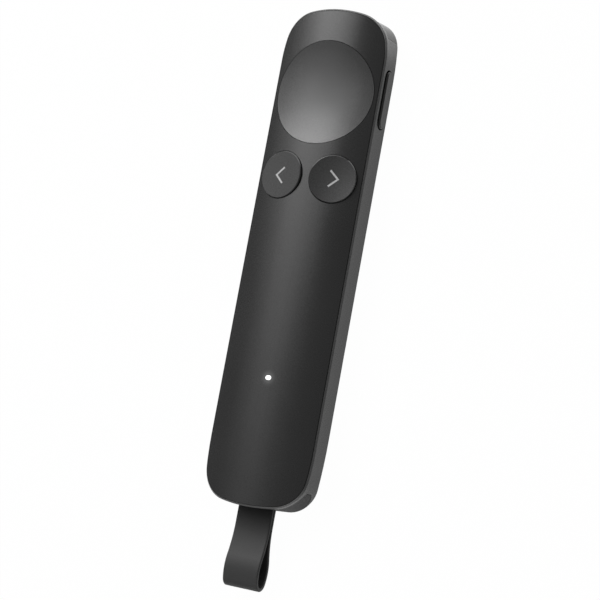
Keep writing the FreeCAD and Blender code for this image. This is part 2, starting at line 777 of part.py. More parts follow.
def make_chassis():
    block = prism("chassis_block", "front", "chassis_inset", CHASSIS_FLOOR, CHASSIS_TOP)
    core = prism("chassis_core", "front", "chassis_inset + chassis_wall", "0", CROWN_TOP)
    ring = cut("chassis_ring", block, core)
    span = "(body_width - 2*chassis_inset - chassis_wall)"
    foot_rib = wide_box("chassis_foot_rib", span, (BOARD_FOOT, f"{BOARD_FOOT} + rib_wall"),
                        (CHASSIS_FLOOR, CHASSIS_TOP))
    head_rib = wide_box("chassis_head_rib", span,
                        ("post_head_place - rib_wall/2", "post_head_place + rib_wall/2"),
                        (CHASSIS_FLOOR, CHASSIS_TOP))
    posts = []
    for word, along in (("foot", "post_foot_place"), ("head", "post_head_place")):
        for side, across in (("right", "post_offset"), ("left", "-post_offset")):
            posts.append(rod(f"chassis_{word}_{side}_post", "post_radius",
                             f"{CHASSIS_TOP} - {CHASSIS_FLOOR}", across, along, CHASSIS_FLOOR))
    cradle = wide_box("chassis_cradle", "cradle_width",
                      (f"{LASER_START} + rib_wall", f"{LASER_END} - rib_wall"),
                      (CHASSIS_FLOOR, "laser_level"))
    web = wide_box("chassis_web", span,
                   (f"{LASER_START} + 3*rib_wall", f"{LASER_START} + 4*rib_wall"),
                   (CHASSIS_FLOOR, "laser_level"))
    frame = joined("chassis_frame", ring, foot_rib, head_rib, *posts, cradle, web)
    bay_end = wide_box("chassis_bay_cut", "body_width", (f"-{BODY_END}", BOARD_FOOT),
                       ("0", CROWN_TOP))
    socket_cut = wide_box("chassis_socket_cut", "socket_width + 2*fit_gap",
                          (f"{BOARD_FOOT} - overrun", f"{SOCKET_END} + fit_gap"), ("0", CROWN_TOP))
    key_cut = box("chassis_key_cut", ("key_notch_half", "body_width/2"), (KEY_LOW, KEY_HIGH),
                  ("0", CROWN_TOP))
    laser_bed = rod("chassis_laser_bed", "laser_radius + stack_gap", "laser_length + 2*overrun",
                    "0", f"{LASER_START} - overrun", "laser_level", LENGTHWISE)
    bores = []
    for word, along in (("foot", "post_foot_place"), ("head", "post_head_place")):
        for side, across in (("right", "post_offset"), ("left", "-post_offset")):
            bores.append(rod(f"chassis_{word}_{side}_bore", "screw_radius + stack_gap",
                             "screw_length + overrun", across, along,
                             f"{BOARD_TOP} - screw_length - stack_gap"))
    return cut("chassis", frame, bay_end, socket_cut, key_cut, laser_bed, *bores)


# Main board with its corners, its notches and the screws' holes

def make_main_board():
    blank = wide_box("board_blank", "board_width", (BOARD_FOOT, "board_head"),
                     ("board_level", BOARD_TOP))
    cornered = eased("board_cornered", blank, "Chamfer", "board_corner",
                     lambda edge: edge.BoundBox.XLength + edge.BoundBox.YLength < 1e-4)
    socket_notch = wide_box("board_socket_notch", "socket_width + 2*fit_gap",
                            (f"{BOARD_FOOT} - overrun", f"{SOCKET_END} + fit_gap"), ("0", CROWN_TOP))
    key_notch = box("board_key_notch", ("key_notch_half", "body_width/2"), (KEY_LOW, KEY_HIGH),
                    ("0", CROWN_TOP))
    holes = []
    for word, along in (("foot", "post_foot_place"), ("head", "post_head_place")):
        for side, across in (("right", "post_offset"), ("left", "-post_offset")):
            holes.append(rod(f"board_{word}_{side}_hole", "screw_radius + 2*fit_gap", CROWN_TOP,
                             across, along, "0"))
    return cut("main_board", cornered, socket_notch, key_notch, *holes)


def make_board_screws():
    screws = []
    for word, along in (("foot", "post_foot_place"), ("head", "post_head_place")):
        for side, across in (("right", "post_offset"), ("left", "-post_offset")):
            name = f"screw_{word}_{side}"
            shank = rod(f"{name}_shank", "screw_radius", "screw_length", across, along,
                        f"{BOARD_TOP} - screw_length + stack_gap")
            head = rod(f"{name}_head", "screw_head_radius", "screw_head_height", across, along,
                       f"{BOARD_TOP} + stack_gap")
            screws.append(joined(name, shank, head))
    return grouped("board_screws", screws)


def make_radio_module():
    half = "radio_side/2"
    can = box("radio_can", (f"-{half}", half), (f"radio_place - {half}", f"radio_place + {half}"),
              (BOARD_TOP, f"{BOARD_TOP} + radio_height"))
    return eased("radio_module", can, "Fillet", "board_wall/2",
                 lambda edge: edge.BoundBox.ZMin > value(BOARD_TOP) + value("radio_height")/2)


def make_antenna():
    return wide_box("antenna", "antenna_length",
                    ("antenna_place - antenna_width/2", "antenna_place + antenna_width/2"),
                    (BOARD_TOP, f"{BOARD_TOP} + antenna_height"))


def make_power_chip():
    half = "chip_side/2"
    chip = box("power_chip_block", (f"-{half}", half),
               (f"chip_place - {half}", f"chip_place + {half}"),
               (BOARD_TOP, f"{BOARD_TOP} + chip_height"))
    return eased("power_chip", chip, "Chamfer", "chip_height/4",
                 lambda edge: edge.BoundBox.ZMin > value(BOARD_TOP) + value("chip_height")/2)


def make_status_led():
    return wide_box("status_led", "led_length",
                    ("led_place - led_width/2", "led_place + led_width/2"),
                    (BOARD_TOP, f"{BOARD_TOP} + led_height"))


def make_light_pipe():
    foot_level = f"({BOARD_TOP} + led_height + fit_gap)"
    foot = document.addObject("Sketcher::SketchObject", "pipe_foot_view")
    place(foot, "0", "led_place", foot_level)
    pill(foot, "pipe_foot_width", "pipe_foot_length")
    foot = extruded("pipe_foot", foot, Vector(0, 0, 1), "pipe_foot_height")
    column = document.addObject("Sketcher::SketchObject", "pipe_column_view")
    place(column, "0", "led_place", foot_level)
    pill(column, "pipe_width", "pipe_length")
    column = extruded("pipe_column", column, Vector(0, 0, 1), CROWN_TOP)
    whole = joined("pipe_whole", foot, column)
    return shared("light_pipe", whole, crown_rod("pipe_crown", "pipe_sunk"))


def dome_switch(name, across, along):
    """A tactile switch on the board: a square base and a low metal dome."""
    half = "switch_side/2"
    base = box(f"{name}_base", (f"{across} - {half}", f"{across} + {half}"),
               (f"{along} - {half}", f"{along} + {half}"), (BOARD_TOP, f"{BOARD_TOP} + switch_base"))
    dome = rod(f"{name}_dome", "dome_radius", "dome_height", across, along,
               f"{BOARD_TOP} + switch_base", tip="dome_top_radius")
    return joined(name, base, dome)


# The point of a round button's axis at its switch lies nearer the middle than the cap does
SWITCH_OFFSET = f"(button_offset - ({BUTTON_LEVEL} - {DOME_TOP})*tan({BUTTON_TILT}))"


def make_pointer_switch():
    return dome_switch("pointer_switch", "0", "pad_place")


def make_back_switch():
    return dome_switch("back_switch", f"-{SWITCH_OFFSET}", "button_place")


def make_next_switch():
    return dome_switch("next_switch", SWITCH_OFFSET, "button_place")


# Bracket that stands beside the board, with the side key's switch on it
BRACKET_FACE = "(key_notch_half + fit_gap + bracket_wall)"


def make_side_switch_bracket():
    return box("side_switch_bracket", ("key_notch_half + fit_gap", BRACKET_FACE),
               ("key_place - bracket_length/2", "key_place + bracket_length/2"),
               (CHASSIS_FLOOR, f"{KEY_LEVEL} + bracket_height/2"))


def make_side_switch():
    half = "(bracket_height/2 - fit_gap)"
    base = box("side_switch_base", (BRACKET_FACE, f"{BRACKET_FACE} + switch_base"),
               ("key_place - switch_side/2", "key_place + switch_side/2"),
               (f"{KEY_LEVEL} - {half}", f"{KEY_LEVEL} + {half}"))
    dome = rod("side_switch_dome", "dome_radius", "dome_height",
               f"{BRACKET_FACE} + switch_base", "key_place", KEY_LEVEL, SIDEWAYS,
               tip="dome_top_radius")
    return joined("side_switch", base, dome)


# Battery: a pouch cell with rounded long edges

def make_battery():
    cell = wide_box("battery_cell", "battery_width", (BATTERY_FOOT, BATTERY_HEAD),
                    ("rear_floor + stack_gap", "rear_floor + stack_gap + battery_height"))
    return eased("battery", cell, "Fillet", "battery_round",
                 lambda edge: edge.BoundBox.YLength > value(f"({BATTERY_HEAD} - {BATTERY_FOOT})/2"))


# End window and the laser module behind it

def make_end_window():
    panel = shared("window_panel", window_block("window_block", "stack_gap"), FORM)
    core = prism("window_core", "front", "window_wall", "0", CROWN_TOP)
    return cut("end_window", panel, core)


def make_laser_module():
    barrel = rod("laser_barrel", "laser_radius", "laser_length", "0", LASER_START, "laser_level",
                 LENGTHWISE)
    bevelled = eased("laser_bevelled", barrel, "Chamfer", "laser_nose_wall/2",
                     lambda edge: edge.BoundBox.YMin > value(LASER_END) - 1e-4)
    nose = rod("laser_nose", "laser_radius - laser_nose_wall", "laser_nose_depth + overrun", "0",
               f"{LASER_END} - laser_nose_depth", "laser_level", LENGTHWISE)
    return cut("laser_module", bevelled, nose)


def make_laser_lens():
    disc = rod("lens_disc", "laser_radius - laser_nose_wall - stack_gap", "lens_wall", "0",
               f"{LASER_END} - laser_nose_depth", "laser_level", LENGTHWISE)
    return eased("laser_lens", disc, "Chamfer", "lens_wall/3",
                 lambda edge: edge.BoundBox.YMin > value(f"{LASER_END} - laser_nose_depth/2"))


# Charging socket in the end of the receiver's bay, reached once the receiver is out

def make_charging_socket():
    view = document.addObject("Sketcher::SketchObject", "socket_view")
    view.Placement = Placement(Vector(), Rotation(Vector(1, 0, 0), 90))
    place(view, "0", SOCKET_END, "strap_level")
    pill(view, "socket_width", "socket_height")
    shell = extruded("socket_shell", view, -LENGTHWISE, "socket_length")
    mouth = document.addObject("Sketcher::SketchObject", "socket_mouth_view")
    mouth.Placement = Placement(Vector(), Rotation(Vector(1, 0, 0), 90))
    place(mouth, "0", f"{SOCKET_END} - 2*socket_wall", "strap_level")
    pill(mouth, "socket_width - 2*socket_wall", "socket_height - 2*socket_wall")
    mouth = extruded("socket_mouth", mouth, -LENGTHWISE, "socket_length")
    tongue = wide_box("socket_tongue", "socket_tongue_width",
                      (f"{BAY_END} + socket_tongue_sunk", f"{SOCKET_END} - socket_wall"),
                      ("strap_level - socket_tongue_height/2",
                       "strap_level + socket_tongue_height/2"))
    return joined("charging_socket", cut("socket_hollow", shell, mouth), tongue)


# Receiver: the cap in the body's end, the holder behind it, and the plug

def plug_box(name, play, along):
    """A block round the plug's outside with some play."""
    return wide_box(name, f"plug_width + 2*({play})", along,
                    (f"strap_level - plug_height/2 - ({play})",
                     f"strap_level + plug_height/2 + ({play})"))


def make_receiver_bay():
    outside = plug_box("bay_outside", "bay_play + bay_wall", (f"{HOLDER_END} + bay_play", BAY_END))
    inside = plug_box("bay_inside", "bay_play", (f"-{BODY_END}", f"{BAY_END} + overrun"))
    return cut("receiver_bay", outside, inside)


def make_receiver_cap():
    wall = cut("cap_wall", shared("cap_panel", cap_block("cap_block", "fit_gap"), FORM),
               prism("cap_core", "front", "band_wall", "0", CROWN_TOP))
    holder = wide_box("cap_holder", "holder_width",
                      (f"-{BODY_END} + band_wall*{HOLDER_ROOT_SHARE}", HOLDER_END),
                      (f"{SLOT_LOW} - holder_wall + fit_gap", f"{SLOT_HIGH} + holder_wall"))
    slot = wide_box("cap_slot", "strap_width + 2*strap_side_play",
                    (f"-{BODY_END} - overrun", f"{PIN_PLACE} + {EYE_RADIUS} + swing_play"),
                    (SLOT_LOW, SLOT_HIGH))
    pin_hole = rod("cap_pin_hole", "pin_radius",
                   "strap_width + 2*strap_side_play + 2*pin_seat",
                   "-(strap_width/2 + strap_side_play + pin_seat)", PIN_PLACE, "strap_level",
                   SIDEWAYS)
    return cut("receiver_cap", joined("cap_body", wall, holder), slot, pin_hole)


def make_strap_pin():
    return rod("strap_pin", "pin_radius", "strap_width + 2*strap_side_play + 2*pin_seat",
               "-(strap_width/2 + strap_side_play + pin_seat)", PIN_PLACE, "strap_level", SIDEWAYS)


def make_receiver_plug():
    outside = plug_box("plug_outside", "0", (HOLDER_END, f"{HOLDER_END} + plug_length"))
    inside = plug_box("plug_inside", "-plug_wall", (f"{HOLDER_END} + plug_wall", BAY_END))
    return cut("receiver_plug", outside, inside)


PLUG_FLOOR = "(strap_level - plug_height/2 + plug_wall)"


def make_receiver_tongue():
    return wide_box("receiver_tongue", "tongue_width",
                    (f"{HOLDER_END} + plug_wall", f"{HOLDER_END} + plug_length - tongue_sunk"),
                    (PLUG_FLOOR, f"{PLUG_FLOOR} + tongue_height"))


def make_receiver_contacts():
    contacts = []
    for number, step in enumerate((-1.5, -0.5, 0.5, 1.5), start=1):
        middle = f"contact_pitch*({step})"
        contacts.append(box(
            f"plug_contact_{number}",
            (f"{middle} - contact_width/2", f"{middle} + contact_width/2"),
            (f"{HOLDER_END} + plug_length - 2*tongue_sunk - contact_length",
             f"{HOLDER_END} + plug_length - 2*tongue_sunk"),
            (f"{PLUG_FLOOR} + tongue_height", f"{PLUG_FLOOR} + tongue_height + contact_wall")))
    return grouped("receiver_contacts", contacts)


# Strap: a flat rubber loop that turns on the pin. Its two plies lie together where it leaves the
# cap and then open into a drop

def strap_loop(sketch, offset):
    """One face of the strap as a closed loop, at an offset from the middle of its ply. The pin is
    at the sketch's origin and the strap runs towards its left."""
    spacing = "((strap_ply + strap_ply_gap)/2)"
    eye = "(pin_radius + running_gap + strap_ply/2)"
    root = "(strap_root_round + strap_ply/2)"
    root_far = f"sqrt(({eye} + {root})^2 - ({spacing} + {root})^2)"
    top = "(strap_belly - strap_ply/2)"
    belly = "strap_belly_radius"
    tip = "(strap_tip_radius - strap_ply/2)"
    neck = f"(({top} - {spacing})/(1 - cos(strap_slope)) - {belly})"
    belly_drop = f"({belly} - {top})"
    fall = f"acos({belly_drop}/({belly} - {tip}))"
    tip_far = f"(strap_reach + pin_depth - strap_ply/2 - {tip})"
    belly_far = f"({tip_far} - ({belly} - {tip})*sin({fall}))"
    neck_far = f"({belly_far} - ({neck} + {belly})*sin(strap_slope))"
    eye_share = f"(({eye} + {offset})/({eye} + {root}))"
    upper = [
        (f"({eye} + {offset})", "0"),
        (f"-{root_far}*{eye_share}", f"({spacing} + {root})*{eye_share}"),
        (f"-{root_far}", f"({spacing} + {offset})"),
        (f"-{neck_far}", f"({spacing} + {offset})"),
        (f"-({neck_far} + ({neck} - {offset})*sin(strap_slope))",
         f"({spacing} + {neck} - ({neck} - {offset})*cos(strap_slope))"),
        (f"-({belly_far} + ({belly} + {offset})*sin({fall}))",
         f"(({belly} + {offset})*cos({fall}) - {belly_drop})"),
    ]
    point = (f"-({tip_far} + {tip} + {offset})", "0")
    lower = [(across, f"-{upward}") for across, upward in upper[:0:-1]]
    radii = [f"({eye} + {offset})", f"-({root} - {offset})", None, f"-({neck} - {offset})",
             f"({belly} + {offset})", f"({tip} + {offset})"]
    chain(sketch, upper + [point] + lower, radii + radii[::-1])


def make_strap():
    sketch = document.addObject("Sketcher::SketchObject", "strap_view")
    sketch.Placement = Placement(Vector(), Rotation(Vector(1, 1, 1), 120))
    place(sketch, "0", PIN_PLACE, "strap_level")
    strap_loop(sketch, "strap_ply/2")
    strap_loop(sketch, "(-strap_ply/2)")
    return extruded("strap", sketch, SIDEWAYS, "strap_width", True)


# Pointer pad: a disc that fills the cover's round hole. Its face is hollow along the body and
# keeps the cover's roundness across it, and its two pins keep it straight as it goes down

# Places across the pad, as shares of its reach, at which its face has a section
PAD_SECTION_SHARES = (-1, -0.5, 0, 0.5, 1)


def make_pointer_pad():
    rise = "(crown_radius - sqrt(crown_radius^2 - pad_radius^2) - pad_dish)"
    roll = f"((pad_radius^2 + {rise}^2)/(2*{rise}))"
    scoop = "((pad_radius^2 + pad_dish^2)/(2*pad_dish))"
    reach = "(pad_radius + overrun)"
    floor = f"(-{rise} - 2*pad_wall)"
    face_end = f"({scoop} - sqrt({scoop}^2 - {reach}^2))"
    corners = [(f"-{reach}", floor), (reach, floor), (reach, face_end), (f"-{reach}", face_end)]
    sections = []
    for number, share in enumerate(PAD_SECTION_SHARES, start=1):
        section = document.addObject("Sketcher::SketchObject", f"pad_section_{number}")
        section.Placement = Placement(Vector(), Rotation(Vector(1, 1, 1), 120))
        across = f"({reach}*{share})"
        place(section, across, "pad_place",
              f"{CROWN_TOP} - pad_dish - {roll} + sqrt({roll}^2 - {across}^2)")
        chain(section, corners, [None, None, f"-{scoop}", None])
        sections.append(section)
    saddle = document.addObject("Part::Loft", "pad_saddle")
    saddle.Sections = sections
    saddle.Solid = True
    blank = rod("pad_blank", "pad_radius", CROWN_TOP, "0", "pad_place", DOME_TOP)
    underside = rod("pad_underside", f"{roll} - pad_wall", f"2*{reach}", "0",
                    f"pad_place - {reach}", f"{CROWN_TOP} - pad_dish - {roll}", LENGTHWISE)
    disc = cut("pad_disc", shared("pad_slice", saddle, blank), underside)
    pin_top = f"({CROWN_TOP} - pad_dish - pad_wall)"
    plunger_foot = f"({DOME_TOP} + pad_travel + switch_gap)"
    plunger = rod("pad_plunger", "pad_plunger_radius", f"{pin_top} + pad_wall/2 - {plunger_foot}",
                  "0", "pad_place", plunger_foot)
    pins = [rod(f"pad_{word}_pin", "pad_pin_radius", f"{pin_top} - {DOME_TOP}", across, "pad_place",
                DOME_TOP)
            for word, across in (("right", "pad_pin_offset"), ("left", "-pad_pin_offset"))]
    return joined("pointer_pad", disc, plunger, *pins)


def make_pad_carrier():
    foot = "pad_place - carrier_length/2"
    floor = f"({BOARD_TOP} + carrier_rise)"
    top = f"({floor} + carrier_wall)"
    solids = [wide_box("carrier_plate", "carrier_width", (foot, "pad_place + carrier_length/2"),
                       (floor, top))]
    bores = [rod("carrier_window_bore", "carrier_window", CROWN_TOP, "0", "pad_place", "0")]
    for side, word in (("", "right"), ("-", "left")):
        across = f"{side}pad_pin_offset"
        solids.append(rod(f"carrier_{word}_sleeve", "pad_pin_radius + running_gap + sleeve_wall",
                          "carrier_wall + sleeve_height", across, "pad_place", floor))
        bores.append(rod(f"carrier_{word}_bore", "pad_pin_radius + running_gap", CROWN_TOP, across,
                         "pad_place", "0"))
        edges = ["(carrier_width/2 - carrier_foot_width)", "carrier_width/2"]
        if side == "-":
            edges = [f"-{edge}" for edge in edges[::-1]]
        for end, along in (("foot", foot), ("head", "board_head - board_play - carrier_foot_width")):
            solids.append(box(f"carrier_{word}_{end}_leg", edges,
                              (along, f"{along} + carrier_foot_width"),
                              (BOARD_TOP, f"{floor} + carrier_wall/2")))
    return cut("pad_carrier", joined("carrier_body", *solids), *bores)


# Back and next buttons: two round caps that lean with the crown, each with a bar under the
# cover that keeps it in

def round_button(name, side):
    floor = "(-button_skirt - button_bar_wall)"
    blank = rod(f"{name}_blank", "button_radius", "button_proud + button_skirt",
                level="-button_skirt")
    bevelled = eased(f"{name}_bevelled", blank, "Chamfer", "button_chamfer",
                     lies_at("button_proud"))
    well = rod(f"{name}_well", "button_radius - button_wall", "button_skirt",
               level="button_proud - button_wall - button_skirt")
    cap = cut(f"{name}_cap", bevelled, well)
    bar = box(f"{name}_bar", ("-button_bar_width/2", "button_bar_width/2"),
              ("-button_bar_length/2", "button_bar_length/2"), (floor, "-button_skirt"))
    foot = (f"(({DOME_TOP} - {BUTTON_LEVEL})/cos({BUTTON_TILT}) + button_travel + switch_gap"
            f" + button_plunger_radius*tan({BUTTON_TILT}))")
    plunger = rod(f"{name}_plunger", "button_plunger_radius",
                  f"-{foot} - button_skirt - button_bar_wall/2", level=foot)
    return leaning(joined(name, cap, bar, plunger), side)


def make_back_button():
    return round_button("back_button", "-1")


def make_next_button():
    return round_button("next_button", "1")


# Side key: a bar with round ends that stands a little out of the band's slot

def make_side_key():
    inner = f"({INNER_HALF} - fit_gap)"
    bar = side_pill("key_bar", "key_length", "key_width", KEY_LEVEL,
                    (f"{inner} - key_flange_wall/2", "body_width/2 + key_proud"))
    face = value("body_width/2 + key_proud")
    bevelled = eased("key_bevelled", bar, "Chamfer", "key_chamfer",
                     lambda edge: edge.BoundBox.XMin > face - 1e-4)
    flange = side_pill("key_flange", "key_flange_length", "key_flange_width", KEY_LEVEL,
                       (f"{inner} - key_flange_wall", inner))
    foot = f"({BRACKET_FACE} + switch_base + dome_height + key_travel + switch_gap)"
    plunger = rod("key_plunger", "key_plunger_radius", f"{inner} - key_flange_wall/2 - {foot}",
                  foot, "key_place", KEY_LEVEL, SIDEWAYS)
    return joined("side_key", bevelled, flange, plunger)


MAKERS = [make_side_band, make_front_cover, make_rear_cover, make_chassis, make_main_board,
          make_board_screws, make_radio_module, make_antenna, make_power_chip,
          make_pointer_switch, make_back_switch, make_next_switch, make_side_switch_bracket,
          make_side_switch, make_status_led, make_light_pipe, make_battery, make_pad_carrier,
          make_pointer_pad, make_back_button, make_next_button, make_side_key, make_end_window,
          make_laser_module, make_laser_lens, make_charging_socket, make_receiver_bay,
          make_receiver_cap, make_receiver_plug, make_receiver_tongue, make_receiver_contacts,
          make_strap_pin, make_strap]

pieces = [make() for make in MAKERS]
document.recompute()

failed = [thing.Name for thing in document.Objects
          if "Invalid" in thing.State or "Error" in thing.State]
failed += [piece.Label for piece in pieces if piece.Shape.isNull() or not piece.Shape.isValid()]
if failed:
    raise SystemExit("These did not build: " + ", ".join(failed))
for piece in pieces:
    piece.Shape.exportStep(f"parts/{piece.Label}.step")
    print(piece.Label, len(piece.Shape.Solids), round(piece.Shape.Volume, 1))
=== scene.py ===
import math

import bmesh
import bpy
from mathutils import Matrix, Quaternion, Vector


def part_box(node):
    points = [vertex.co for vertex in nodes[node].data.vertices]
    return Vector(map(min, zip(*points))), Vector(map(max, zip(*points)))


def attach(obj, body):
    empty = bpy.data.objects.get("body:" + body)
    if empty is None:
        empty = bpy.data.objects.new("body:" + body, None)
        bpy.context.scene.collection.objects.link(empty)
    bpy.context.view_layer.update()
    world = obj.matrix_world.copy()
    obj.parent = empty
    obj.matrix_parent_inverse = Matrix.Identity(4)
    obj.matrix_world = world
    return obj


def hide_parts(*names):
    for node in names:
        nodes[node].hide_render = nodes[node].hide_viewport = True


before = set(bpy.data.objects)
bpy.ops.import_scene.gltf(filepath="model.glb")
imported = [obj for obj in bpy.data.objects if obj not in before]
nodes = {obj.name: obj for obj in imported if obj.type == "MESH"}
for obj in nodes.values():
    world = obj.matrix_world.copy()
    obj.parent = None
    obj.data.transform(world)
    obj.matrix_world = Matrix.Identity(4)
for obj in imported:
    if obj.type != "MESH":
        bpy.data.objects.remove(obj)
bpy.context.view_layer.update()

# Camera
# A long lens above the clicker's front face, on its key side. The clicker lies on its back, and
# the camera is rolled so that the clicker leans a little to the right of upright.

camera_aim = Vector((0.002962, -0.010576, 0.008))
camera_back = Vector((0.448189, -0.107433, 0.88746))
camera_distance = 0.38237
camera_roll = math.radians(-67.5747)
camera_lens = bpy.data.cameras.new("camera")
camera_lens.sensor_width = 36
camera_lens.lens = 95.62
camera = bpy.data.objects.new("camera", camera_lens)
bpy.context.collection.objects.link(camera)
camera.location = camera_aim + camera_back * camera_distance
camera.rotation_mode = "QUATERNION"
level_view = camera_back.to_track_quat("Z", "Y")
camera.rotation_quaternion = level_view @ Quaternion((0, 0, 1), camera_roll)
bpy.context.scene.camera = camera

# Rear cover
# A shallow tray moulded in black ABS with a matt, spark-eroded grain. It snaps into the band
# from behind, and it has picked up a faint polish where it lies on tables.


class Signal:
    """One socket in a finish's nodes. Arithmetic on it adds Math nodes to the same finish."""

    def __init__(self, socket):
        self.socket = socket

    def node(self, kind, settings, values, output=0):
        """Any other node: its settings are set first, then the values or links of its sockets."""
        made = self.socket.id_data.nodes.new(kind)
        for name, setting in settings.items():
            setattr(made, name, setting)
        for name, value in values.items():
            if isinstance(value, Signal):
                self.socket.id_data.links.new(value.socket, made.inputs[name])
            else:
                made.inputs[name].default_value = value
        return Signal(made.outputs[output]) if made.outputs else None

    def maths(self, operation, first, second=0.0):
        return self.node("ShaderNodeMath", {"operation": operation}, {0: first, 1: second})

    def __add__(self, other):
        return self.maths("ADD", self, other)

    def __radd__(self, other):
        return self.maths("ADD", other, self)

    def __sub__(self, other):
        return self.maths("SUBTRACT", self, other)

    def __rsub__(self, other):
        return self.maths("SUBTRACT", other, self)

    def __mul__(self, other):
        return self.maths("MULTIPLY", self, other)

    def __abs__(self):
        return self.maths("ABSOLUTE", self)

    def most(self, other):
        return self.maths("MAXIMUM", self, other)

    def between(self, low, high):
        """A colour that goes from low to high as this mask goes from 0 to 1. Each of the two is
        a colour or a signal."""
        return self.node("ShaderNodeMix", {"data_type": "RGBA"}, {0: self, 6: low, 7: high}, 2)

    def ramp(self, low, high, first=0.0, last=1.0):
        """A smooth rise from first to last as this value goes from low to high."""
        return self.node("ShaderNodeMapRange", {"interpolation_type": "SMOOTHSTEP"},
                         {"Value": self, "From Min": low, "From Max": high,
                          "To Min": first, "To Max": last})

    def noise(self, size, detail=2.0):
        """Cloudy noise over this place, with features of about one size in metres."""
        return self.node("ShaderNodeTexNoise", {}, {"Vector": self, "Scale": 1 / size,
                                                    "Detail": detail})

    def streaks(self, scale, size, detail):
        """Noise that is drawn out along the axes whose scale is the smallest."""
        return self.node("ShaderNodeMapping", {"vector_type": "POINT"},
                         {"Vector": self, "Scale": scale}).noise(size, detail)

    def across(self):
        """The X, Y and Z of this place."""
        split = self.node("ShaderNodeSeparateXYZ", {}, {0: self}).socket.node
        return [Signal(socket) for socket in split.outputs]

    def off_axis(self, middle):
        """This place's distance from an upright line through a point."""
        x, y, _ = self.across()
        square = (x - middle.x) * (x - middle.x) + (y - middle.y) * (y - middle.y)
        return self.maths("SQRT", square)

    def bump(self, height, distance):
        """A normal that rises by a height signal times a distance in metres."""
        return self.node("ShaderNodeBump", {}, {"Height": height, "Distance": distance})

    def cover(self, values):
        """The finish itself, on this tree's output."""
        shader = self.node("ShaderNodeBsdfPrincipled", {}, values)
        self.node("ShaderNodeOutputMaterial", {}, {"Surface": shader})


def new_finish(name):
    """A material with nothing in it yet, and its place signal in the object's coordinates."""
    material = bpy.data.materials.new(name)
    material.use_nodes = True
    material.node_tree.nodes.clear()
    where = material.node_tree.nodes.new("ShaderNodeTexCoord")
    return material, Signal(where.outputs["Object"])


def grey(tone, warmth=0.0):
    """A grey of one tone from 0 to 1, and how much it leans from blue to red."""
    return (tone * (1 + warmth), tone, tone * (1 - warmth), 1)


def moulding(place, tone, roughness, grain_size, grain_depth):
    """Signals of a moulded plastic: colour, roughness and normal. Its tone drifts a little."""
    drift = 0.12
    flow = place.noise(0.018, 3)
    grain = place.noise(grain_size, 2)
    colour = flow.between(grey(tone * (1 - drift)), grey(tone * (1 + drift)))
    polish = roughness - 0.03 + flow * 0.06 + (grain - 0.5) * 0.12
    return {"Base Color": colour, "Roughness": polish, "Normal": place.bump(grain, grain_depth)}


def dress(material, *node_names):
    """Puts a material on every slot of some CAD nodes."""
    for node_name in node_names:
        for holder in nodes[node_name].material_slots:
            holder.material = material


rear_finish, place = new_finish("rear_moulding")
rear_signals = moulding(place, 0.02, 0.55, 0.00022, 0.00003)
underside = 1 - place.across()[2].ramp(0.0002, 0.0012)
rub = place.noise(0.006, 4).ramp(0.52, 0.7) * underside
rear_signals["Roughness"] = rear_signals["Roughness"] - rub * 0.16
rear_signals["Base Color"] = (rub * 0.5).between(rear_signals["Base Color"], grey(0.05))
place.cover(rear_signals)
dress(rear_finish, "rear_cover")

# Battery
# A lithium pouch cell in silver laminate foil. It lies in the rear cover between two fences, with
# a band of amber tape round each end.

battery_low, battery_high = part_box("battery")
foil_finish, place = new_finish("cell_foil")
along = place.across()[1]
crease = place.noise(0.004, 5)
tape_width = 0.005
tape_edge = tape_width - 0.0002
tape_low = 1 - along.ramp(battery_low.y + tape_edge, battery_low.y + tape_width)
tape_high = along.ramp(battery_high.y - tape_width, battery_high.y - tape_edge)
tape = tape_low.most(tape_high)
place.cover({
    "Base Color": tape.between((0.55, 0.56, 0.58, 1), (0.62, 0.24, 0.03, 1)),
    "Metallic": 1 - tape,
    "Roughness": 0.3 + crease * 0.2,
    "Normal": place.bump(crease, 0.0002),
})
dress(foil_finish, "battery")

# Chassis, pad carrier and receiver bay
# Stiff inner mouldings of grey glass-filled nylon, with short bright fibres in the surface. The
# board is screwed down on the chassis's posts, and the pad carrier stands above it.

inner_finish, place = new_finish("glass_filled_nylon")
fibre = place.node("ShaderNodeTexVoronoi", {"feature": "DISTANCE_TO_EDGE"},
                   {"Vector": place, "Scale": 2600.0})
inner_signals = moulding(place, 0.055, 0.6, 0.00016, 0.00002)
inner_signals["Base Color"] = fibre.ramp(0.0, 0.06, 0.35, 0.0).between(grey(0.05), grey(0.16))
place.cover(inner_signals)
dress(inner_finish, "chassis", "pad_carrier", "receiver_bay")

# Main board and side switch bracket
# Dark green solder mask over copper. The tracks show as slightly raised, lighter lines, with gilt
# vias among them.

board_finish, place = new_finish("board_laminate")
track = place.node("ShaderNodeTexVoronoi", {"feature": "DISTANCE_TO_EDGE"},
                   {"Vector": place, "Scale": 620.0, "Randomness": 0.55})
via = place.node("ShaderNodeTexVoronoi", {"distance": "EUCLIDEAN"},
                 {"Vector": place, "Scale": 330.0})
line = 1 - track.ramp(0.05, 0.09)
ring = (1 - via.ramp(0.07, 0.09)) * via.ramp(0.03, 0.045)
mask_colour = line.between((0.006, 0.02, 0.012, 1), (0.014, 0.055, 0.03, 1))
place.cover({
    "Base Color": ring.between(mask_colour, (0.75, 0.5, 0.2, 1)),
    "Metallic": ring,
    "Roughness": 0.38 - ring * 0.12 + place.noise(0.0003) * 0.08,
    "Normal": place.bump(line.most(ring), 0.00004),
})
dress(board_finish, "main_board", "side_switch_bracket")

# Parts on the board
# A radio under a stamped tin can, a ceramic antenna, a power chip in black resin and four dome
# switches of stamped steel, all soldered on.

